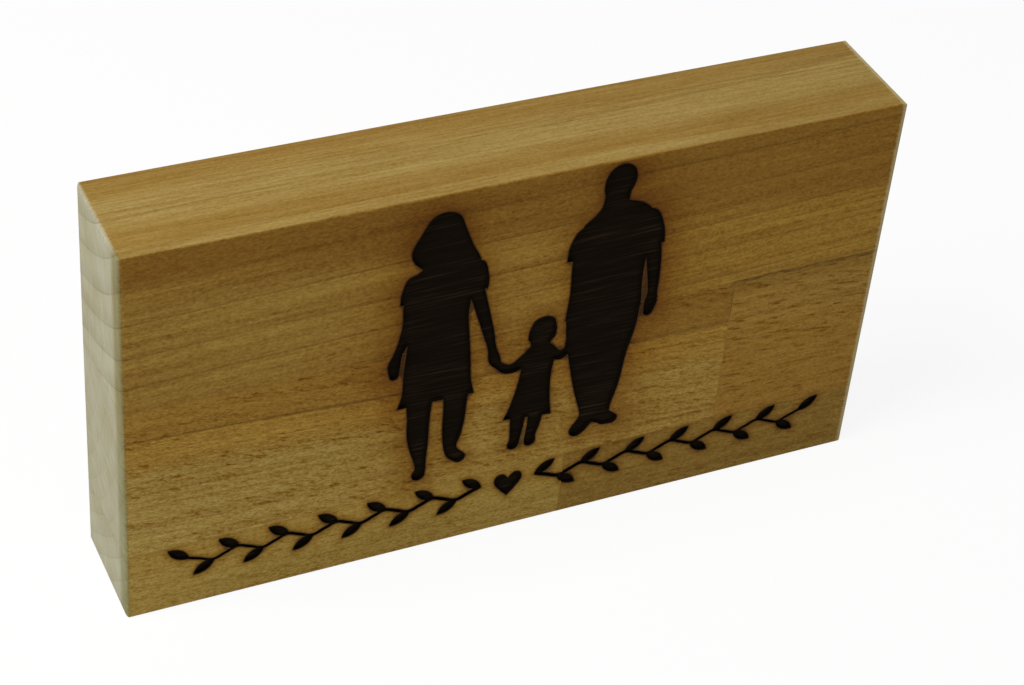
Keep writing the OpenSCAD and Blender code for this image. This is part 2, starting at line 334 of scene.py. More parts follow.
class PlaqueBurn(bpy.types.PropertyGroup):
    """The burnt engraving and the smoke round it."""

    char_colour: colour_setting("Char", "The burnt floor of the engraving", (24, 19, 13))
    streak_colour: colour_setting("Char Streaks", "Hard grain left in the char", (52, 41, 31))
    soot_colour: colour_setting("Soot", "Smoke at the engraving's edge", (34, 22, 10))
    smoke_colour: colour_setting("Smoke Tint", "Tint of wood that smoke has reached", (252, 246, 206))
    scorch_colour: colour_setting("Scorch Tint", "Tint of wood that heat has browned", (166, 112, 20))
    soot_spread: length_setting("Soot Spread", "How far the soot reaches", 0.55 * MM, 5 * MM)
    scorch_spread: length_setting("Scorch Spread", "How far the browning reaches", 3 * MM, 15 * MM)
    haze_spread: length_setting("Haze Spread", "How far the figures' smoke reaches", 2.5 * MM, 10 * MM)
    ridge_height: length_setting("Ridge Height", "Height of the hard grain left", 0.12 * MM, 0.4 * MM)
    ridge_width: length_setting("Ridge Width", "Distance from one ridge to the next", 0.6 * MM, 5 * MM)
    ridge_length: length_setting("Ridge Length", "Length of a ridge along the grain", 14 * MM, 60 * MM)
    grid_step: length_setting("Grid Step", "Mesh size on the front face", 1.5 * MM, 5 * MM)
    seed: IntProperty(name="Seed", description="Changes where the ridges lie", default=7, min=0)


class PlaqueStage(bpy.types.PropertyGroup):
    """Floor, light and camera."""

    floor_colour: colour_setting("Floor", "Colour of the floor", (250, 250, 249))
    key_level: FloatProperty(
        name="Key Lamp",
        description="Power of the key lamp",
        unit="POWER",
        min=0.0,
        default=13.0,
    )
    sky_level: FloatProperty(
        name="Sky",
        description="Strength of the even light from all round",
        min=0.0,
        default=0.18,
    )
    camera_azimuth: angle_setting("Camera Azimuth", "How far to the left it stands", 27.474)
    camera_elevation: angle_setting("Camera Elevation", "How far above the horizon it is", 38.607)
    camera_roll: angle_setting("Camera Roll", "Its turn about its line of sight", 5.460)
    camera_distance: length_setting("Camera Distance", "From the camera to its aim", 0.55230, 5.0)
    camera_aim: FloatVectorProperty(
        name="Camera Aim",
        description="The point on the front that the camera looks at",
        subtype="TRANSLATION",
        unit="LENGTH",
        size=3,
        default=(-2.24 * MM, FRONT, 54.62 * MM),
    )
    lens: FloatProperty(
        name="Lens",
        description="Focal length on a sensor 36 mm wide",
        unit="CAMERA",
        min=10.0,
        default=89.542,
    )


class PlaqueSettings(bpy.types.PropertyGroup):
    """Everything a user would change."""

    wood: PointerProperty(type=PlaqueWood)
    burn: PointerProperty(type=PlaqueBurn)
    stage: PointerProperty(type=PlaqueStage)


# ------------------------------------------------------------------------------
# Beech
# ------------------------------------------------------------------------------

# A pair is where a mask starts and where it is full. Lengths in this section are in millimetres.

# The wood.
DRIFT_SIZE = (110.0, 40.0, 40.0)  # of the slow noise by which the rings wander
HALF_WIDTH = 12.0  # about the way from a stave's first ring to its middle
RINGS_INSIDE = 20.0  # keeps the count of the rings above zero
SHADE_SHARES = (0.77, 1.08, 1.8)  # how strongly a change of shade tells in red, green and blue
DARKEST = 0.05  # share of its colour that the darkest shade keeps
OILED_SHINE = 0.05

# Stain of the glue, by the height from the joint unless a note says otherwise.
SOAKED_START = (MIDDLE_JOINT / MM - 2.0, MIDDLE_JOINT / MM + 2.0)  # along X
BETWEEN_JOINTS = (46.0, 50.0)  # heights that tell the upper joint from the lower one
SEAM_EDGE = (0.6, 0.1)
SEAM_RAGGED = 0.8  # how far the grain shifts that edge
SEAM_SOAKED = 0.3  # how much wider the line is where dark glue soaked in
SEAM_DROP = 0.2  # how far below the upper joint its middle lies
CLOUD_DROP = 1.2  # and the middle of the fainter cloud
CLOUD_EDGE = (5.5, 0.5)

# The ends' edges: by the place, or by how squarely a surface faces along X, up to 1.
END_FACING = (0.1, 0.9)
# Painted highlight: the right end's rounded edges are painted pale, as if catching light, over their
# pale sanded end grain.
HIGHLIGHT_RIM_EDGE = (RIGHT_MM - 1.9, RIGHT_MM - 0.9)
HIGHLIGHT_RIM_FACING = (0.98, 0.8)
HIGHLIGHT_RIM_STRENGTH = 0.85
WORN_EDGE = (FRONT_MM + 5.0, FRONT_MM + 1.8)
WORN_FACING = (0.05, 0.35)
WORN_HEIGHT = (42.0, 56.0)  # from here up the wear also hides some of the end grain,
WORN_HIDES = 0.25  # by this share
WORN_TURN = 0.55  # how far the wear turns the surface towards the front
TOWARDS_FRONT = (0.0, -1.0, 0.0, 1.0)

# Traces of the heat, by the way to the engraving's rim unless a note says otherwise.
SMOULDER_SIZE = (3.5, 3.5, 2.2)  # of the noise that makes their edges ragged
OUTER_FIGURES = (10.0, 30.0)  # along X, to either side
SCORCH_STRENGTH = 0.42
SOOT_STRENGTH = 0.7
# Near the rim the streaks fade and the char darkens: painted shade, where the walls shade the floor.
STREAK_START = (0.4, 1.5)
WALL_SHADE_RIM = (0.1, 0.9)
CHAR_ROUGHNESS = 0.85
CHAR_SHINE = 0.0
SMOKED_MIDDLE = 1.0  # along X, where the upper glue line is smoked
SMOKED_REACH = (40.0, 30.0)  # to either side of it
BELOW_FRONT = (FRONT_MM + 0.2, FRONT_MM + 0.4)  # along Y, where the burner cut the glue,
ABOVE_FLOOR = (FLOOR / MM + 0.3, FLOOR / MM + 0.1)  # and where that ends
INSIDE_ENDS = (RIGHT_MM - 2.0, RIGHT_MM - 3.0)  # along X, to either side


class Place(NamedTuple):
    """A place in the tree: along the grain, out from the pith and round it."""

    along: Value
    out: Value
    round: Value


class Band(NamedTuple):
    """A band of another colour that follows the rings."""

    colour: str  # which colour of the wood settings
    start: float  # distance from the pith where the band starts, at X = 0
    end: float  # and where it ends
    soft: float  # width of its soft edges
    drift: float  # how much further out it lies for each millimetre along X
    strength: tuple  # at the left and at the right end of the plaque


class Cut(NamedTuple):
    """How a stave was cut from its tree."""

    slot: str
    pith: tuple  # Y and Z of the tree's pith where the stave is at X = 0
    lean: float  # rise of the pith for each millimetre along X
    wander: float  # how much the rings wander along the stave
    ring: tuple  # a ring's distance from the pith, and the distance to the next ring
    ring_strength: float
    end_ring_strength: float
    bands: tuple
    fleck: tuple  # length, depth and width of the ray flecks
    fleck_tilt: float  # how far they fall for each millimetre along X
    fleck_strength: float
    fibre: float  # strength of the fine fibres
    stripes: float  # strength of the long stripes
    seed: float


CUTS = {
    "top_stave": Cut(
        slot="top_beech",
        pith=(24.0, 135.0),
        lean=0.03,
        wander=1.2,
        ring=(42.7, 7.05),
        ring_strength=0.42,
        end_ring_strength=0.6,
        bands=(
            Band("amber", 52.0, 200.0, 1.0, 0.0, (0.0, 0.95)),
            Band("warm", 0.0, 64.9, 8.0, 0.089, (1.05, 0.7)),
            Band("dull", 0.0, 52.7, 0.5, 0.021, (1.0, 1.0)),
            # These pale bands lie on the top face: partly paler wood, partly painted sheen and cooler
            # light that make the top paler than the front.
            Band("pale", 41.2, 46.4, 3.6, 0.025, (0.7, 0.7)),
            Band("pale", 50.4, 52.7, 0.8, 0.021, (0.45, 0.45)),
        ),
        fleck=(2.4, 5.0, 0.6),
        fleck_tilt=0.04,
        fleck_strength=0.25,
        fibre=1.0,
        stripes=1.0,
        seed=3.0,
    ),
    "middle_left_stave": Cut(
        slot="middle_left_beech",
        pith=(60.0, 70.0),
        lean=-0.036,
        wander=2.4,
        ring=(77.6, 5.4),
        ring_strength=0.14,
        end_ring_strength=0.2,
        bands=(
            Band("amber", 0.0, 200.0, 1.0, 0.0, (0.0, 0.5)),
            Band("amber", 0.0, 80.2, 3.0, 0.0, (0.9, 0.9)),
            Band("warm", 0.0, 77.3, 0.3, 0.0, (0.38, 0.68)),
            Band("latewood", 77.2, 77.45, 0.2, 0.0, (0.75, 0.5)),
        ),
        fleck=(3.8, 6.0, 0.9),
        fleck_tilt=0.2,
        fleck_strength=1.0,
        fibre=1.25,
        stripes=1.0,
        seed=17.0,
    ),
    "middle_right_stave": Cut(
        slot="middle_right_beech",
        pith=(85.0, 50.0),
        lean=0.02,
        wander=3.0,
        ring=(99.8, 6.1),
        ring_strength=0.08,
        end_ring_strength=0.3,
        bands=(
            Band("dull", 0.0, 98.8, 1.6, 0.0, (0.5, 0.5)),
            Band("warm", 99.4, 140.0, 3.0, 0.0, (0.15, 0.4)),
        ),
        fleck=(4.8, 6.0, 0.95),
        fleck_tilt=0.09,
        fleck_strength=1.3,
        fibre=1.0,
        stripes=0.9,
        seed=31.0,
    ),
    "bottom_left_stave": Cut(
        slot="bottom_left_beech",
        pith=(45.0, 70.0),
        lean=0.01,
        wander=3.0,
        ring=(78.0, 5.0),
        ring_strength=0.14,
        end_ring_strength=0.35,
        bands=(Band("amber", 60.0, 82.0, 8.0, 0.0, (0.35, 0.35)),),
        fleck=(3.2, 5.0, 0.75),
        fleck_tilt=0.1,
        fleck_strength=0.5,
        fibre=1.1,
        stripes=0.5,
        seed=47.0,
    ),
    "bottom_right_stave": Cut(
        slot="bottom_right_beech",
        pith=(50.0, 60.0),
        lean=-0.02,
        wander=3.0,
        ring=(79.0, 5.6),
        ring_strength=0.2,
        end_ring_strength=0.4,
        bands=(Band("warm", 60.0, 84.6, 2.0, 0.0, (0.2, 0.2)),),
        fleck=(3.2, 5.0, 0.75),
        fleck_tilt=0.08,
        fleck_strength=0.7,
        fibre=1.1,
        stripes=0.8,
        seed=61.0,
    ),
}


def tree_place(graph, point, cut):
    """Where a point of the stave was in its tree."""
    at = graph.split(point)
    seed = (cut.seed, 0.0, 0.0)
    drift = graph.split(graph.noise(point, DRIFT_SIZE, seed, detail=1.0, output="Color"))
    out_y = at.y - cut.pith[0] + (drift.x - 0.5) * cut.wander
    out_z = at.z - cut.pith[1] - at.x * cut.lean + (drift.y - 0.5) * cut.wander
    radius = graph.length(out_y, out_z)
    round_pith = graph.math("ARCTAN2", out_y, out_z) * (cut.ring[0] + HALF_WIDTH)
    return Place(at.x, radius, round_pith)


def wood_patterns(graph, place, cut):
    """Masks from 0 to 1 of the rings and flecks, and noises about 0 of what is finer or wider."""
    seed = (cut.seed, cut.seed * 0.7, 0.0)
    straight = graph.vector(*place)
    tilted = graph.vector(place.along, place.out, place.round + place.along * cut.fleck_tilt)

    def grown(sizes, detail=2.0, roughness=0.5, way=straight):
        """A noise with its sizes along the grain, out from the pith and round it."""
        return graph.noise(way, sizes, seed, detail, roughness)

    uneven = grown((190.0, 7.0, 60.0), detail=1.0)
    turn = (place.out - cut.ring[0]) / cut.ring[1] + (uneven - 0.5) * 0.5
    part = graph.math("FRACT", turn + RINGS_INSIDE)
    strength = graph.fade(grown((50.0, 6.0, 9.0)), 0.32, 0.62)
    end = graph.fade(part, 1.0, 0.985)
    flecks = grown(cut.fleck, detail=1.5, roughness=0.45, way=tilted)
    gathered = 0.5 + 0.5 * graph.fade(grown((34.0, 9.0, 7.0), detail=1.0), 0.34, 0.6)
    return {
        "fibre": grown((0.9, 0.5, 0.42), roughness=0.6) - 0.5,
        "dash": grown((2.8, 0.9, 0.7), detail=1.5, way=tilted) - 0.5,
        "thread": grown((46.0, 0.85, 0.8), roughness=0.6) - 0.5,
        "streak": grown((80.0, 2.2, 2.6), roughness=0.55) - 0.5,
        "cloud": grown((50.0, 14.0, 12.0)) - 0.5,
        "late": graph.fade(part, 0.3, 0.97) * end,
        "line": graph.fade(part, 0.9, 0.965) * end * (0.3 + 0.7 * strength),
        "dark fleck": graph.fade(flecks, 0.57, 0.68) * gathered,
        "pale fleck": graph.fade(flecks, 0.44, 0.3) * gathered,
    }


def shaded(graph, colour, change):
    """A colour made lighter or darker; the darker wood is also redder."""
    levels = [graph.math("MAXIMUM", 1.0 + change * share, DARKEST) for share in SHADE_SHARES]
    return graph.vector_math("MULTIPLY", colour, graph.vector(*levels))


def wood_colour(wood, name):
    """One of the wood's colours, by its name in the cuts and bands."""
    return opaque(getattr(wood, name + "_colour"))


def banded(graph, colour, place, pattern, cut, wood):
    """The stave's colour with its bands."""
    for band in cut.bands:
        ragged = pattern["thread"] * (0.3 + band.soft * 0.5)
        depth = place.out - place.along * band.drift + ragged
        half = band.soft / 2
        inside = graph.fade(depth, band.end + half, band.end - half)
        if band.start > 0:
            inside = inside * graph.fade(depth, band.start - half, band.start + half)
        inside = inside * (0.9 + pattern["thread"] * 1.2)
        left, right = band.strength
        if left != right:
            inside = inside * (left + (right - left) * graph.fade(place.along, LEFT_MM, RIGHT_MM))
        else:
            inside = inside * left
        colour = graph.mix(graph.clamp(inside), colour, wood_colour(wood, band.colour))
    return colour


def side_grain(graph, place, rise, pattern, cut, wood):
    """Colour of the faces along the grain. The planed top and underside are the calmest."""
    fine = cut.fibre * wood.fibre_strength
    flecks = cut.fleck_strength * wood.fleck_strength
    level_face = graph.fade(rise, 0.4, 0.9)
    change = (
        pattern["fibre"] * (2.4 * fine)
        + pattern["dash"] * (0.8 * fine)
        + pattern["thread"] * (0.8 * cut.stripes)
        + pattern["streak"] * (0.5 * cut.stripes)
        + pattern["cloud"] * 0.3
        + pattern["pale fleck"] * (0.12 * flecks)
        - pattern["dark fleck"] * (0.42 * flecks)
    ) * (1.0 - level_face * 0.4)
    colour = wood_colour(wood, cut.slot.removesuffix("_beech"))
    colour = banded(graph, colour, place, pattern, cut, wood)
    latewood = opaque(wood.latewood_colour)
    rings = cut.ring_strength * (1.0 - level_face * 0.5)
    colour = graph.mix(pattern["late"] * rings * 0.3, colour, latewood)
    colour = graph.mix(pattern["line"] * rings, colour, latewood)
    return shaded(graph, colour, change)


def end_grain(graph, point, place, pattern, cut, wood):
    """Colour and relief of the sawn and sanded ends; their pale grey colour also holds painted sheen
    and cool light.
    """
    seed = (cut.seed, 0.0, 0.0)

    def marks(way, sizes, detail=2.0, roughness=0.6):
        return graph.noise(way, sizes, seed, detail, roughness) - 0.5

    rays = marks(graph.vector(*place), (400.0, 7.0, 0.5))
    sanding = marks(point, (900.0, 0.35, 12.0))
    pores = marks(point, (900.0, 0.3, 0.3), detail=1.0, roughness=0.5)
    ring = (pattern["late"] * 0.4 + pattern["line"] * 0.5) * cut.end_ring_strength
    colour = graph.mix(graph.clamp(ring), opaque(wood.end_grain_sheen_colour), opaque(wood.end_ring_colour))
    change = rays * 0.5 + sanding * 0.35 + pores * 0.35 + pattern["cloud"] * 0.35
    return shaded(graph, colour, change), rays + sanding + pores


def stained(graph, at):
    """1 at the upper right joint, where dark glue has soaked into the wood."""
    return graph.fade(at.x, *SOAKED_START) * graph.fade(at.z, *BETWEEN_JOINTS)


def seam_stain(graph, at, pattern):
    """How much glue has darkened the wood: a line at each joint, and a cloud at the upper right."""
    lower = graph.math("ABSOLUTE", at.z - LOWER_JOINT / MM)
    upper = graph.math("ABSOLUTE", at.z - UPPER_JOINT / MM + SEAM_DROP)
    nearest = graph.math("MINIMUM", lower, upper)
    soaked = stained(graph, at)
    edge = nearest + pattern["thread"] * SEAM_RAGGED - soaked * SEAM_SOAKED
    broken = 0.3 + 0.5 * graph.fade(pattern["dash"], -0.1, 0.15)
    line = graph.fade(edge, *SEAM_EDGE) * (0.06 + soaked * broken)
    below = graph.math("ABSOLUTE", at.z - UPPER_JOINT / MM + CLOUD_DROP) + pattern["streak"] * 2.0
    cloud = graph.fade(below, *CLOUD_EDGE) * soaked * 0.2
    return graph.math("MAXIMUM", line, cloud)


def beech(name, cut, wood, burn):
    """Oiled beech with end grain, stained seams, worn edges, a painted highlight on the right end's
    edges and the burnt engraving.

    It reads the distances and the char that the engraving tree and the mesh store.
    """
    material, graph = new_material(name)
    point = graph.object_point()
    at = graph.split(point)
    place = tree_place(graph, point, cut)
    pattern = wood_patterns(graph, place, cut)
    normal = graph.add("ShaderNodeNewGeometry", output="Normal")
    faces = graph.split(normal)
    facing = graph.math("ABSOLUTE", faces.x)
    rise = graph.math("ABSOLUTE", faces.z)

    colour = side_grain(graph, place, rise, pattern, cut, wood)
    colour = graph.mix(seam_stain(graph, at, pattern), colour, opaque(wood.seam_colour))
    end_grain_sheen_colour, end_relief = end_grain(graph, point, place, pattern, cut, wood)
    worn = graph.fade(at.y, *WORN_EDGE) * graph.fade(facing, *WORN_FACING)
    on_end = graph.fade(facing + pattern["fibre"] * 0.4, *END_FACING)
    on_end = on_end * (1.0 - worn * WORN_HIDES * graph.fade(at.z, *WORN_HEIGHT))
    colour = graph.mix(on_end, colour, end_grain_sheen_colour)
    # The ends turn darker, with less blue, near their front edges.
    tint = graph.mix(worn, WHITE, opaque(wood.front_edge_tint_colour))
    colour = graph.vector_math("MULTIPLY", colour, tint)
    # Painted highlight on the right end's rounded edges, over their pale sanded end grain.
    rim = graph.fade(at.x + pattern["fibre"] * 0.8, *HIGHLIGHT_RIM_EDGE) * graph.fade(facing, *HIGHLIGHT_RIM_FACING)
    colour = graph.mix(rim * HIGHLIGHT_RIM_STRENGTH, colour, opaque(wood.rim_pale_and_highlight_colour))

    gap = graph.attribute("scorch") * MM_IN_METRE
    wide_gap = graph.attribute("haze") * MM_IN_METRE
    ragged = graph.noise(point, SMOULDER_SIZE, (cut.seed, 0.0, 0.0), roughness=0.55) - 0.5
    colour = scorched(graph, at, colour, gap, wide_gap, ragged, burn)
    rough = 0.52 + pattern["fibre"] * 0.3 + pattern["dark fleck"] * 0.06 + on_end * 0.2
    height = pattern["fibre"] * 0.9 - pattern["dark fleck"] * 0.3 - pattern["line"] * 0.2
    height = height * (1.0 - on_end) + end_relief * on_end * 0.4
    upright = graph.fade(rise, 0.8, 0.3)
    turned = graph.mix(worn * upright * WORN_TURN, normal, TOWARDS_FRONT)
    relief = graph.bump(height, strength=0.5, depth=0.05 * MM, normal=turned)
    sound = graph.principled(colour, graph.clamp(rough), relief, OILED_SHINE)
    charred = charred_surface(graph, place, gap, ragged, cut, burn)
    char = graph.attribute("char")
    graph.close(graph.add("ShaderNodeMixShader", None, {0: char, 1: sound, 2: charred}))
    return material


def scorched(graph, at, colour, gap, wide_gap, ragged, burn):
    """Wood colour browned by the heat near the engraving, and sooty at its very edge.

    The smoke from the figures reaches further beside the outer two than beside the middle one.
    """
    outer = graph.fade(graph.math("ABSOLUTE", at.x), *OUTER_FIGURES)
    spread = (1.0 + outer * 0.9) * (burn.haze_spread / MM)
    haze = graph.math("EXPONENT", (wide_gap + ragged * 1.2) / spread * -1.0)
    haze = haze * (0.55 + outer * 0.2)
    near = graph.fade(gap + ragged, burn.scorch_spread / MM, 0.0)
    brown = graph.clamp(graph.math("MAXIMUM", haze, near * near * SCORCH_STRENGTH))
    smoke_tint = graph.mix(graph.clamp(brown * 2.4), WHITE, opaque(burn.smoke_colour))
    scorch_tint = graph.mix(brown, WHITE, opaque(burn.scorch_colour))
    colour = graph.vector_math("MULTIPLY", colour, smoke_tint)
    colour = graph.vector_math("MULTIPLY", colour, scorch_tint)
    soot = graph.fade(gap + ragged * 0.4, burn.soot_spread / MM, 0.0)
    return graph.mix(soot * SOOT_STRENGTH, colour, opaque(burn.soot_colour))


def charred_surface(graph, place, gap, ragged, cut, burn):
    """The burnt floor and walls: nearly black, with painted shade of the walls darkening it near the
    rim, and streaks of hard grain.
    """
    tree = graph.vector(*place)
    hard = graph.noise(tree, (24.0, 0.55, 0.5), (cut.seed, 0.0, 0.0), roughness=0.6)
    patch = graph.noise(tree, (30.0, 6.0, 6.0), (cut.seed, 9.0, 0.0), detail=1.0)
    streaks = graph.fade(hard, 0.5, 0.75) * (0.2 + 0.8 * graph.fade(patch, 0.35, 0.6))
    ridge = graph.attribute("ridge")
    # Painted shade near the rim, where the walls shade the floor: the streaks fade and the char
    # darkens.
    shown = graph.clamp((streaks + ridge * 0.2) * graph.fade(gap, *STREAK_START))
    edge = 0.6 + 0.4 * graph.fade(gap, *WALL_SHADE_RIM)
    burnt = graph.mix(shown, opaque(burn.char_colour), opaque(burn.streak_colour))
    burnt = graph.vector_math("MULTIPLY", burnt, graph.vector(edge, edge, edge))
    crust = graph.bump(hard + ragged * 0.6, strength=0.6, depth=0.1 * MM)
    return graph.principled(burnt, CHAR_ROUGHNESS, crust, CHAR_SHINE)


def glue(name, wood, burn):
    """Dried glue, charred where the burner cut it.

    It is as brown as the wood, darker at the upper right, and smoked beside the figures.
    """
    material, graph = new_material(name)
    point = graph.object_point()
    at = graph.split(point)
    patches = graph.noise(point, (11.0, 5.0, 5.0), roughness=0.6)
    specks = graph.noise(point, (0.5, 0.4, 0.4), roughness=0.6)
    warm = graph.fade(patches, 0.4, 0.75) * 0.5
    colour = graph.mix(warm, opaque(wood.glue_colour), opaque(wood.warm_colour))
    dark = stained(graph, at) * graph.fade(patches, 0.2, 0.5)
    colour = graph.mix(dark, colour, opaque(wood.seam_colour))
    smoke = graph.fade(graph.math("ABSOLUTE", at.x - SMOKED_MIDDLE), *SMOKED_REACH)
    smoke = smoke * graph.fade(at.z, *BETWEEN_JOINTS)
    colour = graph.mix(smoke * 0.6, colour, opaque(burn.soot_colour))
    burnt = graph.fade(at.y, *BELOW_FRONT) * graph.fade(at.y, *ABOVE_FLOOR)
    burnt = burnt * graph.fade(graph.math("ABSOLUTE", at.x), *INSIDE_ENDS)
    colour = graph.mix(burnt, colour, opaque(burn.char_colour))
    normal = graph.bump(specks, strength=0.4, depth=0.03 * MM)
    graph.close(graph.principled(colour, 0.5 + specks * 0.3, normal, OILED_SHINE))
    return material


# ------------------------------------------------------------------------------
# Staves
# ------------------------------------------------------------------------------

ENGRAVING_INPUTS = {
    "Geometry": "NodeSocketGeometry",
    "Rim": "NodeSocketObject",
    "Ridge Height": "NodeSocketFloat",
    "Ridge Width": "NodeSocketFloat",
    "Ridge Length": "NodeSocketFloat",
    "Seed": "NodeSocketInt",
    "Material": "NodeSocketMaterial",
}
MERGE_DISTANCE = 0.1 * TINY
FLAT_ANGLE = math.radians(0.5)  # faces that meet at less are one face
SHARP_ANGLE = math.radians(32)
GRID_MARGIN = 0.2  # share of a grid's step within which it isn't cut beside an edge
RIDGE_START = (0.15 * MM, 0.6 * MM)  # how far from the rim the ridges rise
RIDGE_CUT = 0.4  # distance between the floor's cuts, as a share of a ridge's width
SEED_STEP = 13.7  # how far each seed moves the ridges through their noise
VINE_TOP = LOWER_JOINT + 1 * MM  # the figures lie above it


def looks_forward(face, depth):
    """The face is parallel to the front and lies at this place along Y."""
    return face.normal.y < -0.999 and abs(face.calc_center_median().y - depth) < TINY


def is_front(face):
    """The face lies in the plaque's front."""
    return looks_forward(face, FRONT)


def is_floor(face):
    """The face lies in the floor of the engraving."""
    return looks_forward(face, FLOOR)


def span(face, axis):
    """The face's lowest and highest place along an axis."""
    places = [vert.co[axis] for vert in face.verts]
    return min(places), max(places)


def is_wall(face):
    """The face is a wall of the engraving, from the front down to the floor."""
    low, high = span(face, 1)
    return abs(low - FRONT) < TINY and abs(high - FLOOR) < TINY and abs(face.normal.y) < 0.3


def whole_faces(node):
    """A stave's solid with its loose triangles joined into whole faces."""
    mesh = bmesh.new()
    mesh.from_mesh(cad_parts[node].data)
    bmesh.ops.remove_doubles(mesh, verts=mesh.verts, dist=MERGE_DISTANCE)
    bmesh.ops.dissolve_limit(mesh, angle_limit=FLAT_ANGLE, verts=mesh.verts, edges=mesh.edges)
    mesh.normal_update()
    return mesh


def crosses(face, axis, place):
    """The face reaches across this place on the axis."""
    low, high = span(face, axis)
    return low < place < high


def cut_grid(mesh, chosen, axis, step):
    """Cut the chosen faces across one axis every step, so that they can carry fine detail."""
    spans = [span(face, axis) for face in mesh.faces if chosen(face)]
    if not spans:
        return
    low = min(start for start, end in spans)
    high = max(end for start, end in spans)
    margin = GRID_MARGIN * step
    direction = Vector((0.0, 0.0, 0.0))
    direction[axis] = 1.0
    for index in range(math.ceil(low / step), math.floor(high / step) + 1):
        place = index * step
        if place - low < margin or high - place < margin:
            continue
        crossed = [face for face in mesh.faces if chosen(face) and crosses(face, axis, place)]
        edges = {edge for face in crossed for edge in face.edges}
        verts = {vert for face in crossed for vert in face.verts}
        bmesh.ops.bisect_plane(
            mesh,
            geom=list(verts) + list(edges) + crossed,
            dist=MERGE_DISTANCE,
            plane_co=direction * place,
            plane_no=direction,
        )
    mesh.normal_update()


def mark_burnt_faces(mesh):
    """Store which faces are burnt, and which points of the floor are free to stand proud."""
    char = mesh.faces.layers.float.new("char")
    free = mesh.verts.layers.float.new("free_floor")
    for face in mesh.faces:
        face[char] = float(is_floor(face) or is_wall(face))
        face.smooth = True
    for vert in mesh.verts:
        faces = list(vert.link_faces)
        vert[free] = float(bool(faces) and all(is_floor(face) for face in faces))


def rim_edges(mesh):
    """Corners of the edges where the front meets a wall of the engraving."""
    rim = []
    for edge in mesh.edges:
        faces = edge.link_faces
        if any(is_front(face) for face in faces) and any(is_wall(face) for face in faces):
            rim.append([vert.co.copy() for vert in edge.verts])
    return rim


def rim_object(meshes):
    """One wire object of the engraving's rim on all the staves."""
    rim = [pair for mesh in meshes for pair in rim_edges(mesh)]
    if not rim:
        raise RuntimeError("no stave carries the engraving")
    corners = [corner for pair in rim for corner in pair]
    edges = [(index, index + 1) for index in range(0, len(corners), 2)]
    data = bpy.data.meshes.new("engraving_rim")
    data.from_pydata(corners, edges, [])
    wire = bpy.data.objects.new("engraving_rim", data)
    bpy.context.scene.collection.objects.link(wire)
    return wire


def engraving_tree():
    """Geometry Nodes: measures the way to the rim, and leaves ridges of hard grain on the floor."""
    tree = bpy.data.node_groups.new("Burnt Engraving", "GeometryNodeTree")
    sockets = {}
    for name, kind in ENGRAVING_INPUTS.items():
        socket = tree.interface.new_socket(name, in_out="INPUT", socket_type=kind)
        sockets[name] = socket.identifier
    tree.interface.new_socket("Geometry", in_out="OUTPUT", socket_type="NodeSocketGeometry")
    graph = Graph(tree)

    def way_to(edges):
        """How far each point is from the nearest of the edges."""
        settings = {"target_element": "EDGES"}
        return graph.add("GeometryNodeProximity", settings, {"Geometry": edges}, "Distance")

    def stored(mesh, name, value):
        """The mesh with a value on each of its points, which the materials read by its name."""
        settings = {"data_type": "FLOAT", "domain": "POINT"}
        inputs = {"Geometry": mesh, "Name": name, "Value": value}
        return graph.add("GeometryNodeStoreNamedAttribute", settings, inputs)

    given = graph.add("NodeGroupInput", output="Geometry")
    rim = graph.add("GeometryNodeObjectInfo", None, {"Object": given.output("Rim")}, "Geometry")
    gap = way_to(rim)
    mesh = stored(given, "scorch", gap)

    at = graph.split(graph.add("GeometryNodeInputPosition"))
    above_vine = graph.math("GREATER_THAN", at.z, VINE_TOP)
    inputs = {"Geometry": rim, "Selection": above_vine}
    figures = graph.add("GeometryNodeSeparateGeometry", {"domain": "POINT"}, inputs)
    mesh = stored(mesh, "haze", way_to(figures))

    along = at.x / given.output("Ridge Length")
    across = at.z / given.output("Ridge Width")
    place = graph.vector(along, given.output("Seed") * SEED_STEP, across)
    uneven = graph.noise(place, (1.0, 1.0, 1.0), roughness=0.55)
    free = graph.add("GeometryNodeInputNamedAttribute", None, {"Name": "free_floor"})
    lift = graph.fade(uneven, 0.46, 0.68) * free * graph.fade(gap, *RIDGE_START)
    mesh = stored(mesh, "ridge", lift)
    offset = graph.vector(0.0, lift * given.output("Ridge Height") * -1.0, 0.0)
    mesh = graph.add("GeometryNodeSetPosition", None, {"Geometry": mesh, "Offset": offset})
    mesh = graph.add("GeometryNodeRealizeInstances", None, {"Geometry": mesh})
    inputs = {"Geometry": mesh, "Material": given.output("Material")}
    mesh = graph.add("GeometryNodeSetMaterial", None, inputs)
    graph.link(mesh, tree.nodes.new("NodeGroupOutput"), "Geometry")
    return tree, sockets


def burn_in(stave, tree, sockets, rim, burn, material):
    """Run the engraving tree on a stave and keep its result as the stave's own mesh."""
    modifier = stave.modifiers.new("burnt_engraving", "NODES")
    modifier.node_group = tree
    given = {
        "Rim": rim,
        "Ridge Height": burn.ridge_height,
        "Ridge Width": burn.ridge_width,
        "Ridge Length": burn.ridge_length,
        "Seed": burn.seed,
        "Material": material,
    }
    for name, value in given.items():
        modifier[sockets[name]] = value
    bpy.context.view_layer.update()
    depsgraph = bpy.context.evaluated_depsgraph_get()
    baked = bpy.data.meshes.new_from_object(stave.evaluated_get(depsgraph), depsgraph=depsgraph)
    stave.modifiers.remove(modifier)
    stave.data = baked
    baked.name = stave.name


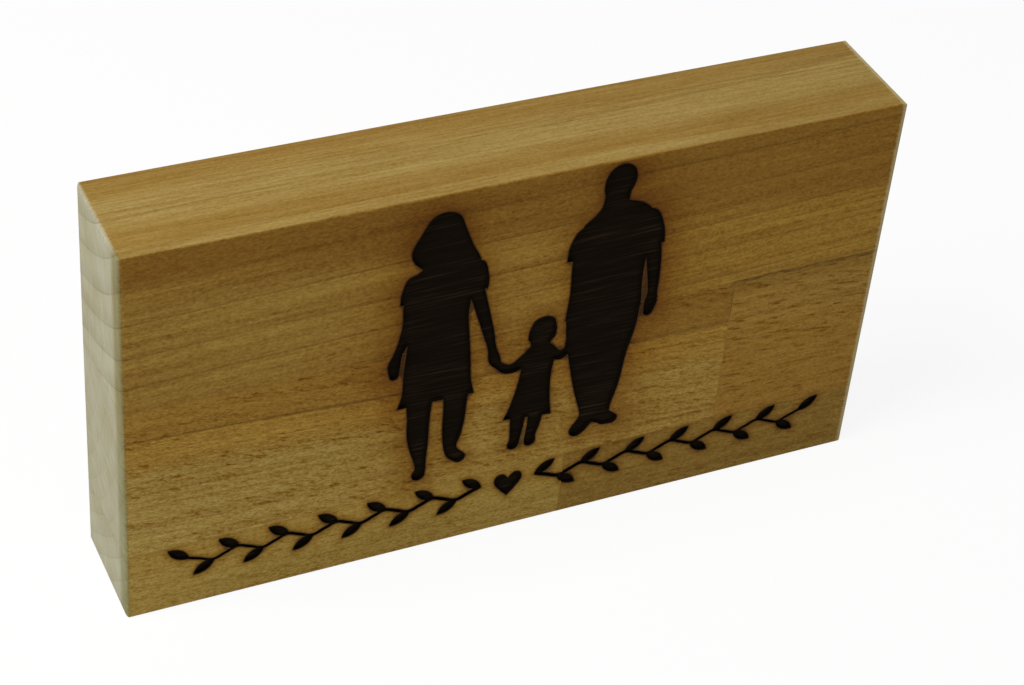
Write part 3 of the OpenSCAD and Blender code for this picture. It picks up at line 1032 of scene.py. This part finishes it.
def fine_mesh(mesh, name, burn):
    """A stave's mesh data, cut finely on its front and on the floor of the engraving."""
    cut_grid(mesh, is_front, 0, burn.grid_step)
    cut_grid(mesh, is_front, 2, burn.grid_step)
    cut_grid(mesh, is_floor, 0, burn.grid_step)
    cut_grid(mesh, is_floor, 2, burn.ridge_width * RIDGE_CUT)
    mark_burnt_faces(mesh)
    bmesh.ops.triangulate(mesh, faces=[face for face in mesh.faces if len(face.verts) > 4])
    data = bpy.data.meshes.new(name)
    mesh.to_mesh(data)
    mesh.free()
    data.attributes.remove(data.attributes["custom_normal"])
    data.set_sharp_from_angle(angle=SHARP_ANGLE)
    return data


class PLAQUE_OT_make_staves(bpy.types.Operator):
    """Dress the five beech staves and burn the engraving into them"""

    bl_idname = "plaque.make_staves"
    bl_label = "Make Staves"

    def execute(self, context):
        settings = context.scene.plaque
        burn = settings.burn
        meshes = {node: whole_faces(node) for node in CUTS}
        rim = rim_object(meshes.values())
        tree, sockets = engraving_tree()
        for node, mesh in meshes.items():
            name = node + "_wood"
            stave = bpy.data.objects.new(name, fine_mesh(mesh, name, burn))
            context.scene.collection.objects.link(stave)
            cut = CUTS[node]
            material = beech(cut.slot, cut, settings.wood, burn)
            burn_in(stave, tree, sockets, rim, burn, material)
            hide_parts(node)
            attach(stave, "root")
        bpy.data.objects.remove(rim)
        return {"FINISHED"}


class PLAQUE_OT_finish_glue_lines(bpy.types.Operator):
    """Give the glue between the staves its finish"""

    bl_idname = "plaque.finish_glue_lines"
    bl_label = "Finish Glue Lines"

    def execute(self, context):
        settings = context.scene.plaque
        material = glue("wood_glue_line", settings.wood, settings.burn)
        lines = [node for name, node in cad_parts.items() if name.endswith("_glue_line")]
        if not lines:
            raise RuntimeError("the frame has no glue lines")
        for line in lines:
            for place in line.material_slots:
                place.material = material
        return {"FINISHED"}


# ------------------------------------------------------------------------------
# Stage
# ------------------------------------------------------------------------------

FLOOR_HALF = 4.0
WHITE_SHARE = 0.9  # how much of the floor's own light the camera sees; the rest shows the shadow
KEY_PLACE = Vector((-0.62, -0.10, 0.98))
KEY_AIM = Vector((0.0, 0.0, 0.05))
KEY_SIZE = 0.6
SENSOR_WIDTH = 36.0  # millimetres, as Blender counts it
NEAREST_SEEN = 0.01


def floor_material(colour):
    """A pale floor that looks white to the camera, save for the object's shadow."""
    material, graph = new_material("studio_floor")
    paper = graph.add("ShaderNodeBsdfDiffuse", None, {"Color": opaque(colour)})
    white = graph.add("ShaderNodeEmission", None, {"Color": WHITE, "Strength": 1.0})
    inputs = {0: graph.seen() * WHITE_SHARE, 1: paper, 2: white}
    graph.close(graph.add("ShaderNodeMixShader", None, inputs))
    return material


def studio_world(level):
    """Even soft light from all round, and a white background."""
    world = bpy.data.worlds.new("studio")
    world.use_nodes = True
    world.node_tree.nodes.clear()
    graph = Graph(world.node_tree)
    light = graph.add("ShaderNodeBackground", None, {"Color": WHITE, "Strength": level})
    white = graph.add("ShaderNodeBackground", None, {"Color": WHITE, "Strength": 1.0})
    surface = graph.add("ShaderNodeMixShader", None, {0: graph.seen(), 1: light, 2: white})
    graph.close(surface, "ShaderNodeOutputWorld")
    return world


def studio_floor(colour):
    """A wide floor just below the plaque, so that the two never share a plane."""
    data = bpy.data.meshes.new("studio_floor")
    square = ((-1, -1), (1, -1), (1, 1), (-1, 1))
    corners = [(x * FLOOR_HALF, y * FLOOR_HALF, 0.0) for x, y in square]
    data.from_pydata(corners, [], [(0, 1, 2, 3)])
    data.materials.append(floor_material(colour))
    floor = bpy.data.objects.new("studio_floor", data)
    floor.location.z = -TINY
    bpy.context.scene.collection.objects.link(floor)
    return floor


def key_softbox(power):
    """The square lamp at the upper left, turned to the plaque."""
    data = bpy.data.lights.new("key_softbox", "AREA")
    data.shape = "SQUARE"
    data.size = KEY_SIZE
    data.energy = power
    lamp = bpy.data.objects.new("key_softbox", data)
    lamp.location = KEY_PLACE
    lamp.rotation_euler = (KEY_AIM - KEY_PLACE).to_track_quat("-Z", "Y").to_euler()
    bpy.context.scene.collection.objects.link(lamp)


def camera_place(stage):
    """Where the camera stands and how it is turned."""
    across = math.cos(stage.camera_elevation)
    back = Vector((
        -math.sin(stage.camera_azimuth) * across,
        -math.cos(stage.camera_azimuth) * across,
        math.sin(stage.camera_elevation),
    ))
    place = Vector(stage.camera_aim) + back * stage.camera_distance
    turned = (-back).to_track_quat("-Z", "Y").to_matrix().to_4x4()
    return Matrix.Translation(place) @ turned @ Matrix.Rotation(stage.camera_roll, 4, "Z")


def stage_camera(stage):
    """The camera with its lens."""
    data = bpy.data.cameras.new("camera")
    data.sensor_width = SENSOR_WIDTH
    data.lens = stage.lens
    data.clip_start = NEAREST_SEEN
    camera = bpy.data.objects.new("camera", data)
    camera.matrix_world = camera_place(stage)
    bpy.context.scene.collection.objects.link(camera)
    return camera


class PLAQUE_OT_set_stage(bpy.types.Operator):
    """Set the floor, the lamp, the even light and the camera"""

    bl_idname = "plaque.set_stage"
    bl_label = "Set Stage"

    def execute(self, context):
        stage = context.scene.plaque.stage
        floor = studio_floor(stage.floor_colour)
        key_softbox(stage.key_level)
        context.scene.world = studio_world(stage.sky_level)
        context.scene.view_settings.view_transform = "Standard"
        context.scene.camera = stage_camera(stage)
        return {"FINISHED"}


# ------------------------------------------------------------------------------
# Sidebar and registration
# ------------------------------------------------------------------------------


class PLAQUE_PT_sidebar(bpy.types.Panel):
    """Sizes, colours and steps of the plaque"""

    bl_idname = "PLAQUE_PT_sidebar"
    bl_label = "Wooden Plaque"
    bl_space_type = "VIEW_3D"
    bl_region_type = "UI"
    bl_category = "Plaque"

    def draw(self, context):
        settings = context.scene.plaque
        for title in ("Wood", "Burn", "Stage"):
            box = self.layout.box()
            box.label(text=title)
            group = getattr(settings, title.lower())
            for name in group.bl_rna.properties.keys():
                if name not in {"rna_type", "name"}:
                    box.prop(group, name)
        for step in STEPS:
            self.layout.operator(step.bl_idname)


STEPS = (PLAQUE_OT_make_staves, PLAQUE_OT_finish_glue_lines, PLAQUE_OT_set_stage)
CLASSES = (PlaqueWood, PlaqueBurn, PlaqueStage, PlaqueSettings, *STEPS, PLAQUE_PT_sidebar)


def register():
    for part in CLASSES:
        bpy.utils.register_class(part)
    bpy.types.Scene.plaque = PointerProperty(type=PlaqueSettings)


def unregister():
    del bpy.types.Scene.plaque
    for part in reversed(CLASSES):
        bpy.utils.unregister_class(part)


def main():
    register()
    bpy.ops.plaque.make_staves()
    bpy.ops.plaque.finish_glue_lines()
    bpy.ops.plaque.set_stage()
    bpy.context.view_layer.update()


if __name__ == "__main__":
    main()
